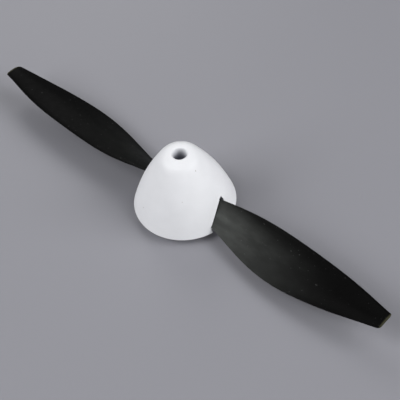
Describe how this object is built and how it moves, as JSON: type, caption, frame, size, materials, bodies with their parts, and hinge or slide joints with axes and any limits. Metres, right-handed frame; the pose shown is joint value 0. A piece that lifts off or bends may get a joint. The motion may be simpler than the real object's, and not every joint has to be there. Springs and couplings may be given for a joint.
{
  "type": "model aeroplane propeller with spinner",
  "caption": "Slim black tractor propeller with square-cut tips, seated in a white slotted ogive spinner that is held by a screw down its nose.",
  "frame": {"origin": "on the shaft axis, at the back of the adapter's flange, which the part stands on; the spinner's rim is 2.2 mm higher", "axes": "+Z along the shaft axis from the motor towards the spinner's nose, +X along one blade"},
  "size_m": [0.147, 0.03, 0.0228],
  "materials": {
    "black_plastic": "satin moulded",
    "white_plastic": "smooth satin moulded",
    "brass": "turned",
    "steel": "zinc plated"
  },
  "bodies": {
    "drive": {"shaft_adapter": "brass", "grub_screws": "steel", "propeller": "black_plastic", "spinner_backplate": "white_plastic"},
    "spinner": {"spinner_cone": "white_plastic"},
    "washers": {"flat_washer": "steel", "lock_washer": "steel"},
    "screw": {"retaining_screw": "steel"}
  },
  "joints": [
    {"name": "spinner_lift", "type": "slide", "parent": "drive", "child": "spinner", "axis": [0, 0, 1], "range_m": [0, 0.012]},
    {"name": "screw_travel", "type": "slide", "parent": "spinner", "child": "washers", "axis": [0, 0, 1], "range_m": [0, 0.005]},
    {"name": "screw_turn", "type": "hinge", "parent": "washers", "child": "screw", "pos_m": [0, 0, 0.0156], "axis": [0, 0, 1], "range_deg": [0, 4500]}
  ],
  "couplings": [
    {"joint": "screw_turn", "follows": "screw_travel", "rad_per_m": 15708}
  ]
}
